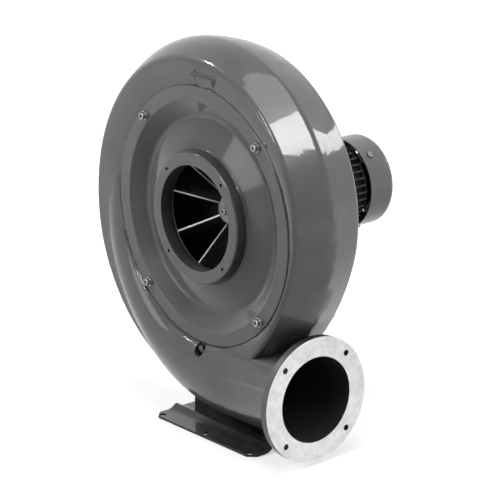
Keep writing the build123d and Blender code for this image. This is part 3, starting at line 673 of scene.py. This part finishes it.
FINISHES: dict[Slot, Finish] = {
    # Casing and cover get strong painted shade in their hollows.
    Slot.CASING: Paint("casing_enamel", (104, 105, 106), coat=0.95, fine=0.13, depth=0.0002, painted_shade=0.9,
                       hollow_reach=0.08),
    Slot.COVER: Paint("cover_enamel", (104, 105, 106), coat=0.95, fine=0.13, depth=0.0002, painted_shade=1.0,
                      hollow_reach=0.09),
    Slot.BASE: Paint("base_enamel", (60, 61, 63), roughness=0.36, coat=0.8, dust=0.15, wear_and_highlight=0.45),
    Slot.MOTOR: Paint("motor_enamel", (52, 53, 55), roughness=0.42, coat=0.15, wear_and_highlight=0.5, dust=0.2),
    Slot.COWL: Paint("cowl_enamel", (126, 127, 128), roughness=0.36, coat=0.8, fine=0.4),
    Slot.ZINC: Metal("zinc_plate", (176, 177, 180), (104, 106, 110), roughness=0.28, cloud_scale=300.0),
    Slot.IMPELLER: Metal("impeller_sheet_steel", (168, 169, 171), (112, 113, 115), roughness=0.36,
                         cloud_scale=45.0),
    Slot.HUB: Machined("hub_turned", (205, 205, 206), (150, 150, 150), roughness=0.24),
    Slot.SHAFT: Machined("shaft_ground", (190, 190, 192), (140, 140, 142), roughness=0.2, pitch=2600.0),
    Slot.BEARING: Machined("bearing_ground", (196, 197, 200), (160, 160, 163), roughness=0.14),
    Slot.CAGE: Metal("cage_brass_strip", (196, 160, 92), (150, 118, 62), roughness=0.3),
    Slot.SEAL: Moulded("seal_nitrile", (30, 30, 31), roughness=0.62),
    Slot.CORE: Metal("core_lamination", (112, 113, 118), (70, 70, 74), roughness=0.45, cloud_scale=200.0),
    Slot.WINDING: Metal("winding_wire", (184, 104, 62), (120, 62, 34), roughness=0.34, grain_scale=600.0,
                        depth=0.0002),
    Slot.FAN: Moulded("fan_nylon", (38, 39, 40), roughness=0.45),
    Slot.TERMINAL: Moulded("terminal_nylon", (206, 204, 196), roughness=0.4),
    Slot.GLAND: Moulded("gland_nylon", (34, 34, 35), roughness=0.42),
}

FLANGE_FACE = Machined("flange_faced", (242, 242, 240), (194, 194, 192), centre=OUTLET_CENTRE, metallic=0.9,
                       plane=Turned.ABOUT_X, pitch=1500.0, roughness=0.36, cloud_scale=42.0, contrast=0.5)
# Painted shade: dark paint for the inside of the outlet bore, which lies in shade.
BORE_PAINTED_SHADE = Paint("bore_painted_shade", (46, 46, 47), roughness=0.5, coat=0.0, wear_and_highlight=0.1, dust=0.0, specular=0.3)


class Workshop:
    """Makes each finish once and hands it out."""

    def __init__(self) -> None:
        """Build the shared groups and the finishes of the slots."""
        self.effects = Effects()
        self.made: dict[str, bpy.types.Material] = {}

    def material(self, finish: Finish) -> bpy.types.Material:
        """Material of a finish.

        Args:
            finish: The finish.

        Returns:
            Its material, made the first time.
        """
        if finish.name not in self.made:
            self.made[finish.name] = finish.build(self.effects)
        return self.made[finish.name]

    def dress(self, node: str, slot: Slot) -> bpy.types.Object:
        """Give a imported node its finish.

        Args:
            node: Node name.
            slot: Material slot it takes its finish from.

        Returns:
            The node's object.
        """
        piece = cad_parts[node]
        material = self.material(FINISHES[slot])
        if not piece.material_slots:
            piece.data.materials.append(material)
        for place in piece.material_slots:
            place.material = material
        return piece


@dataclass
class SubAssembly:
    """Nodes of one sub-assembly and the slots they are finished in."""

    shop: Workshop
    nodes: dict[str, Slot] = field(default_factory=dict)

    def dress(self) -> None:
        """Finish every node of the sub-assembly."""
        for node, slot in self.nodes.items():
            self.shop.dress(node, slot)
            LOG.info("%s: %s", node, slot.value)


@dataclass
class CastSkin:
    """Visible skin of the casting: its wall is refined and eased, as a sand casting's is.

    The wall rises to a crease at mid depth. Over the top the bands beside the crease swell
    until they meet without an edge, and at the outlet side only the edge itself is rounded.
    """

    source: bpy.types.Object
    shaft_z: float = SHAFT_HEIGHT
    front_y: float = -70.4 * MM
    crease_y: float = OUTLET_CENTRE[1]
    rear_y: float = 20.6 * MM
    spiral_start: float = -60.0
    spiral_turn: float = 330.0
    spiral_r: float = 154.5 * MM
    spiral_growth: float = 70.65 * MM
    rise: float = 15.8 * MM
    wall: float = 4.0 * MM
    front_swell: float = 4.4 * MM
    rear_swell: float = 3.1 * MM
    rear_lift: float = 0.2
    crease_fade: tuple[float, float] = (115.0, 75.0)
    swell_rise: tuple[float, float] = (48.0, 34.0)
    swell_end: tuple[float, float] = (172.0, 30.0)
    edge_reach: float = 4.0 * MM
    edge_drop: float = 0.7 * MM
    row: float = 4.0 * MM
    margin: float = 0.1 * MM
    corner: float = 3.0 * MM
    outward: float = 0.15
    weld: float = 0.002 * MM
    sharp_angle: float = 26.0
    zone: tuple[float, float] = (8.0, 182.0)

    def build(self) -> bpy.types.Object:
        """Make the skin.

        Returns:
            The skin's object, which rides on the housing.
        """
        mesh = self.source.data.copy()
        mesh.transform(self.source.matrix_world)
        skin = bmesh.new()
        skin.from_mesh(mesh)
        bmesh.ops.remove_doubles(skin, verts=skin.verts, dist=self.weld)
        for depth in self.rows():
            self.cut(skin, depth)
        skin.normal_update()
        wall = [vertex for vertex in skin.verts if self.in_zone(vertex.co, vertex.normal)]
        moved = sum(self.ease(vertex) for vertex in wall)
        for face in skin.faces:
            face.smooth = True
        skin.to_mesh(mesh)
        skin.free()
        mesh.set_sharp_from_angle(angle=math.radians(self.sharp_angle))
        piece = bpy.data.objects.new("volute_casting_skin", mesh)
        bpy.context.scene.collection.objects.link(piece)
        tidy = piece.modifiers.new("even_normals", "WEIGHTED_NORMAL")
        tidy.keep_sharp = True
        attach(piece, "housing")
        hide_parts("scroll_casing")
        LOG.info("volute_casting_skin: %d wall points eased", moved)
        return piece

    def rows(self) -> list[float]:
        """Depths at which the wall gets a row of points.

        Returns:
            World Y of every row.
        """
        count = round((self.rear_y - self.front_y) / self.row)
        even = [self.front_y + (self.rear_y - self.front_y) * i / count for i in range(1, count)]
        fine = [self.crease_y + self.edge_reach * i / 4 for i in range(-4, 5)]
        return sorted([y for y in even if abs(y - self.crease_y) > self.edge_reach + MM] + fine)

    def cut(self, skin: bmesh.types.BMesh, depth: float) -> None:
        """Cut the wall's faces at one depth.

        Args:
            skin: Mesh of the casting.
            depth: World Y of the cut.
        """
        faces = [face for face in skin.faces if self.in_zone(face.calc_center_median(), face.normal)
                 and min(v.co.y for v in face.verts) < depth < max(v.co.y for v in face.verts)]
        parts = {edge for face in faces for edge in face.edges}
        corners = {vertex for face in faces for vertex in face.verts}
        bmesh.ops.bisect_plane(skin, geom=[*corners, *parts, *faces], dist=0.5 * self.weld,
                               plane_co=(0.0, depth, 0.0), plane_no=(0.0, 1.0, 0.0))

    def polar(self, point: Vector) -> tuple[float, float]:
        """Place of a point round the shaft.

        Args:
            point: Point in metres.

        Returns:
            Angle in degrees, from -90 to 270, and distance from the shaft's axis.
        """
        up = point.z - self.shaft_z
        angle = math.degrees(math.atan2(up, point.x))
        return (angle + 360.0 if angle < -90.0 else angle), math.hypot(point.x, up)

    def crease_share(self, angle: float) -> float:
        """Height of the crease at an angle, as a share of its full rise."""
        start, length = self.crease_fade
        return 1.0 - eased((angle - start) / length)

    def wall_reach(self, angle: float, y: float) -> float:
        """Radius of the wall's outer face.

        Args:
            angle: Angle about the shaft in degrees.
            y: World Y, which is the depth.

        Returns:
            Distance from the shaft's axis.
        """
        share = (angle - self.spiral_start) / self.spiral_turn
        if y < self.crease_y:
            lift = max(0.0, (y - self.front_y) / (self.crease_y - self.front_y))
        else:
            lift = 1.0 - (1.0 - self.rear_lift) * (y - self.crease_y) / (self.rear_y - self.crease_y)
        return self.spiral_r + self.spiral_growth * share + self.rise * self.crease_share(angle) * lift

    def in_zone(self, point: Vector, normal: Vector) -> bool:
        """Whether a point lies on the outer wall, beside the crease.

        Args:
            point: Point of the casting.
            normal: Surface normal there.

        Returns:
            True on the outer wall.
        """
        angle, reach = self.polar(point)
        outward = (point.x * normal.x + (point.z - self.shaft_z) * normal.z) / max(reach, MM)
        if outward < self.outward:
            return False
        if not self.zone[0] < angle < self.zone[1]:
            return False
        if not self.front_y - self.margin < point.y < self.rear_y + self.margin:
            return False
        near_end = min(point.y - self.front_y, self.rear_y - point.y)
        slack = 1.25 * self.wall + (self.wall if near_end < self.corner else 0.0)
        return reach > self.wall_reach(angle, point.y) - slack

    def ease(self, vertex: bmesh.types.BMVert) -> int:
        """Move one point of the wall outwards or, at the edge itself, inwards.

        Args:
            vertex: Point of the casting.

        Returns:
            1 where the point was moved, and 0 where it stays.
        """
        angle, reach = self.polar(vertex.co)
        stop = min(1.0, max(0.0, (self.swell_end[0] - angle) / self.swell_end[1]))
        share = eased((angle - self.swell_rise[0]) / self.swell_rise[1]) * stop
        y = vertex.co.y
        if y < self.crease_y:
            along = (y - self.front_y) / (self.crease_y - self.front_y)
            swell = self.front_swell
        else:
            along = (self.rear_y - y) / (self.rear_y - self.crease_y)
            swell = self.rear_swell
        along = min(1.0, max(0.0, along))
        height = self.crease_share(angle) * share * 4.0 * swell * along * (1.0 - along)
        near = max(0.0, 1.0 - abs(y - self.crease_y) / self.edge_reach)
        height -= self.edge_drop * (1.0 - share) * self.crease_share(angle) * near * near
        if abs(height) < 0.5 * self.weld:
            return 0
        grow = (reach + height) / reach
        vertex.co.x *= grow
        vertex.co.z = self.shaft_z + (vertex.co.z - self.shaft_z) * grow
        return 1


@dataclass
class Casing(SubAssembly):
    """Volute casting with its cover, back plate and fixings."""

    nodes: dict[str, Slot] = field(default_factory=lambda: {
        "scroll_casing": Slot.CASING, "inlet_cover": Slot.COVER, "cover_screws": Slot.ZINC,
        "cover_washers": Slot.ZINC, "crease_plug": Slot.COVER, "back_plate": Slot.CASING,
        "back_plate_bolts": Slot.ZINC})
    outlet: Triple = OUTLET_CENTRE
    bore_r: float = 51.6 * MM
    bore_start: float = 20.0 * MM
    flange_r: float = 75.0 * MM
    face_depth: float = 0.2 * MM
    face_normal: float = 0.98

    def dress(self) -> None:
        """Finish the nodes and the faced flange, and paint the inside of the bore dark as painted shade."""
        super().dress()
        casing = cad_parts["scroll_casing"]
        mesh = casing.data
        while len(mesh.materials) < 3:
            mesh.materials.append(None)
        mesh.materials[1] = self.shop.material(FLANGE_FACE)
        # Slot 2 is the dark painted shade of the bore's inside.
        mesh.materials[2] = self.shop.material(BORE_PAINTED_SHADE)
        for polygon in mesh.polygons:
            centre = polygon.center
            off_axis = math.hypot(centre.y - self.outlet[1], centre.z - self.outlet[2])
            on_face = polygon.normal.x > self.face_normal and centre.x > self.outlet[0] - self.face_depth
            if on_face and off_axis < self.flange_r:
                polygon.material_index = 1
            elif off_axis < self.bore_r and centre.x > self.bore_start:
                polygon.material_index = 2
        LOG.info("scroll_casing: faced flange and shade_painted bore")
        CastSkin(casing).build()


@dataclass
class Wheel(SubAssembly):
    """Impeller, its hub and what holds it on the shaft."""

    nodes: dict[str, Slot] = field(default_factory=lambda: {
        "impeller_shroud": Slot.IMPELLER, "impeller_backplate": Slot.IMPELLER,
        "impeller_blades": Slot.IMPELLER, "impeller_hub": Slot.HUB, "impeller_rivets": Slot.IMPELLER,
        "hub_washer": Slot.ZINC, "hub_screw": Slot.ZINC, "shaft": Slot.SHAFT, "shaft_key": Slot.SHAFT})


@dataclass
class Bearings(SubAssembly):
    """Both ball bearings, the seal and the spring washer."""

    nodes: dict[str, Slot] = field(default_factory=lambda: {
        **{end + "_bearing_" + part: slot for end in ("front", "rear") for part, slot in (
            ("outer_ring", Slot.BEARING), ("inner_ring", Slot.BEARING), ("balls", Slot.BEARING),
            ("cage", Slot.CAGE))},
        "shaft_seal": Slot.SEAL, "wave_washer": Slot.BEARING})


@dataclass
class Motor(SubAssembly):
    """Motor frame, its active parts, its cooling fan and cowl."""

    nodes: dict[str, Slot] = field(default_factory=lambda: {
        "motor_front_shield": Slot.MOTOR, "motor_flange_bolts": Slot.ZINC, "stator_housing": Slot.MOTOR,
        "stator_core": Slot.CORE, "stator_windings": Slot.WINDING, "rotor_core": Slot.CORE,
        "motor_rear_shield": Slot.MOTOR, "cooling_fan": Slot.FAN, "fan_cowl": Slot.COWL,
        "cowl_screws": Slot.ZINC})


@dataclass
class TerminalBox(SubAssembly):
    """Terminal box, its lid, block and gland."""

    nodes: dict[str, Slot] = field(default_factory=lambda: {
        "terminal_box": Slot.MOTOR, "terminal_gasket": Slot.SEAL, "terminal_lid": Slot.MOTOR,
        "terminal_lid_screws": Slot.ZINC, "terminal_block": Slot.TERMINAL, "cable_gland": Slot.GLAND,
        "cable_gland_cap": Slot.GLAND})


@dataclass
class Base(SubAssembly):
    """Pressed base plate and its screws."""

    nodes: dict[str, Slot] = field(default_factory=lambda: {
        "base_plate": Slot.BASE, "base_screws": Slot.ZINC})


class Reach(Enum):
    """Which light of a lamp counts: all of it, its reflection alone, or its soft light alone."""

    ALL = (True, True)
    SHINE = (False, True)
    SOFT = (True, False)


@dataclass(frozen=True)
class Softbox:
    """One rectangular studio lamp."""

    name: str
    place: Triple
    target: Triple
    width: float
    height: float
    radiance: float
    reach: Reach = Reach.ALL

    def build(self) -> bpy.types.Object:
        """Hang the lamp.

        Returns:
            The lamp object.
        """
        data = bpy.data.lights.new(self.name, "AREA")
        data.shape = "RECTANGLE"
        data.size = self.width
        data.size_y = self.height
        data.energy = self.radiance * math.pi * self.width * self.height
        lamp = bpy.data.objects.new(self.name, data)
        lamp.location = self.place
        away = Vector(self.target) - Vector(self.place)
        lamp.rotation_euler = away.to_track_quat("-Z", "Y").to_euler()
        lamp.visible_diffuse, lamp.visible_glossy = self.reach.value
        bpy.context.scene.collection.objects.link(lamp)
        return lamp


@dataclass
class Studio:
    """Floor, background, lamps and camera."""

    right: Triple = (0.64071, 0.76767, -0.01301)
    up: Triple = (-0.21754, 0.19776, 0.95581)
    back: Triple = (0.73632, -0.60957, 0.29370)
    unit: float = 1.09 * MM
    aside: float = 58.81
    below: float = -33.0
    distance: float = 2403.15
    inlet: Triple = (0.0, -81.0 * MM, SHAFT_HEIGHT)
    lens: float = 164.35
    sensor: float = 36.0
    sky_fill: float = 0.13
    floor_half: float = 12.0
    floor_bounce: float = 0.28
    floor_tones: tuple[float, float] = (0.86, 0.9)
    floor_in_gloss: float = 0.85
    glow_near: tuple[float, float] = (0.6, 0.55)
    glow_far: tuple[float, float] = (1.8, 1.0)
    lamps: tuple[Softbox, ...] = (
        Softbox("key_box", (-1.7, -1.6, 1.9), (0.0, 0.0, 0.25), 0.9, 0.9, 12.5, Reach.SOFT),
        Softbox("edge_box", (-1.75, -1.35, 2.2), (0.0, 0.0, 0.25), 0.3, 0.3, 50.0, Reach.SHINE),
        Softbox("top_box", (0.5, -0.2, 2.4), (0.0, 0.0, 0.3), 1.2, 1.2, 3.5),
        Softbox("window_box", (1.35, -0.45, 1.92), (0.13, -0.05, 0.385), 0.8, 0.9, 22.0, Reach.SHINE),
        Softbox("strip_box", (0.48, 1.84, 1.03), (0.15, -0.02, 0.38), 0.35, 0.28, 10.0, Reach.SHINE),
        Softbox("low_box", (-0.85, -1.85, 0.45), (0.08, -0.06, 0.33), 0.7, 0.5, 3.6, Reach.SHINE),
        Softbox("side_box", (2.2, 0.3, 0.9), (0.1, 0.0, 0.25), 0.8, 0.8, 7.0, Reach.SOFT),
        Softbox("rear_box", (-0.9, 2.6, 1.6), (0.0, 0.1, 0.25), 1.1, 1.1, 6.0, Reach.SOFT),
        Softbox("line_box", (0.25, -1.95, 1.55), (0.15, -0.06, 0.35), 0.3, 0.8, 34.0, Reach.SHINE),
    )

    def build(self) -> None:
        """Set up everything round the object."""
        self.sky()
        self.floor()
        for lamp in self.lamps:
            lamp.build()
        self.camera()
        bpy.context.scene.view_settings.view_transform = "Standard"

    def sky(self) -> None:
        """White background that also shows in glossy surfaces."""
        world = bpy.data.worlds.new("studio_sky")
        world.use_nodes = True
        net = Net(world.node_tree)
        world.node_tree.nodes.clear()
        path = net.add("ShaderNodeLightPath")
        seen = net.sum("ADD", path.outputs["Is Camera Ray"], path.outputs["Is Glossy Ray"])
        seen = net.sum("ADD", seen, path.outputs["Is Transmission Ray"], clamp=True)
        dim = net.add("ShaderNodeBackground")
        dim.inputs["Color"].default_value = grey(1.0)
        dim.inputs["Strength"].default_value = self.sky_fill
        bright = net.add("ShaderNodeBackground")
        bright.inputs["Color"].default_value = grey(1.0)
        bright.inputs["Strength"].default_value = 1.0
        mixed = net.add("ShaderNodeMixShader")
        net.join(seen, mixed.inputs[0])
        net.join(dim.outputs[0], mixed.inputs[1])
        net.join(bright.outputs[0], mixed.inputs[2])
        net.join(mixed.outputs[0], net.add("ShaderNodeOutputWorld").inputs["Surface"])
        bpy.context.scene.world = world

    def floor(self) -> None:
        """Plain pale floor under the object."""
        mesh = bpy.data.meshes.new("studio_floor")
        grid = bmesh.new()
        bmesh.ops.create_grid(grid, x_segments=8, y_segments=8, size=self.floor_half)
        grid.to_mesh(mesh)
        grid.free()
        floor = bpy.data.objects.new("studio_floor", mesh)
        bpy.context.scene.collection.objects.link(floor)
        material = bpy.data.materials.new("studio_floor")
        material.use_nodes = True
        net = Net(material.node_tree)
        shader = material.node_tree.nodes["Principled BSDF"]
        where = net.add("ShaderNodeTexCoord").outputs["Object"]
        tone = net.remap(net.noise(where, 3.0, 2.0), 0.3, 0.7, 0.0, 1.0)
        shader.inputs["Roughness"].default_value = 0.9
        shader.inputs["Specular IOR Level"].default_value = 0.1
        path = net.add("ShaderNodeLightPath")
        seen = net.sum("ADD", path.outputs["Is Camera Ray"], path.outputs["Is Transmission Ray"])
        seen = net.sum("MULTIPLY_ADD", path.outputs["Is Glossy Ray"], self.floor_in_gloss, seen, clamp=True)
        low, high = self.floor_tones
        pale = net.blend(tone, grey(low), grey(high))
        net.join(net.blend(seen, grey(self.floor_bounce), pale), shader.inputs["Base Color"])
        far = net.add("ShaderNodeVectorMath", operation="LENGTH")
        net.join(where, far.inputs[0])
        level = net.remap(far.outputs["Value"], self.glow_near[0], self.glow_far[0],
                          self.glow_near[1], self.glow_far[1])
        lift = net.blend(net.sum("MULTIPLY", seen, level), grey(0.0), grey(1.0))
        net.join(lift, shader.inputs["Emission Color"])
        shader.inputs["Emission Strength"].default_value = 1.0
        mesh.materials.append(material)

    def camera(self) -> None:
        """Camera at the photograph's viewing angle."""
        right = Vector(self.right).normalized()
        back = Vector(self.back).normalized()
        up = back.cross(right).normalized()
        right = up.cross(back).normalized()
        place = (right * self.aside + up * self.below + back * self.distance) * self.unit
        place += Vector(self.inlet)
        turn = Matrix((right, up, back)).transposed().to_4x4()
        data = bpy.data.cameras.new("studio_camera")
        data.sensor_width = self.sensor
        data.lens = self.lens
        data.clip_end = 60.0
        camera = bpy.data.objects.new("studio_camera", data)
        camera.matrix_world = Matrix.Translation(place) @ turn
        bpy.context.scene.collection.objects.link(camera)
        bpy.context.scene.camera = camera


def main() -> None:
    """Dress the fan and set up the studio round it."""
    logging.basicConfig(level=logging.INFO, format="%(name)s %(message)s")
    shop = Workshop()
    for part in (Casing(shop), Wheel(shop), Bearings(shop), Motor(shop), TerminalBox(shop), Base(shop)):
        part.dress()
    Studio().build()


if __name__ == "__main__":
    main()
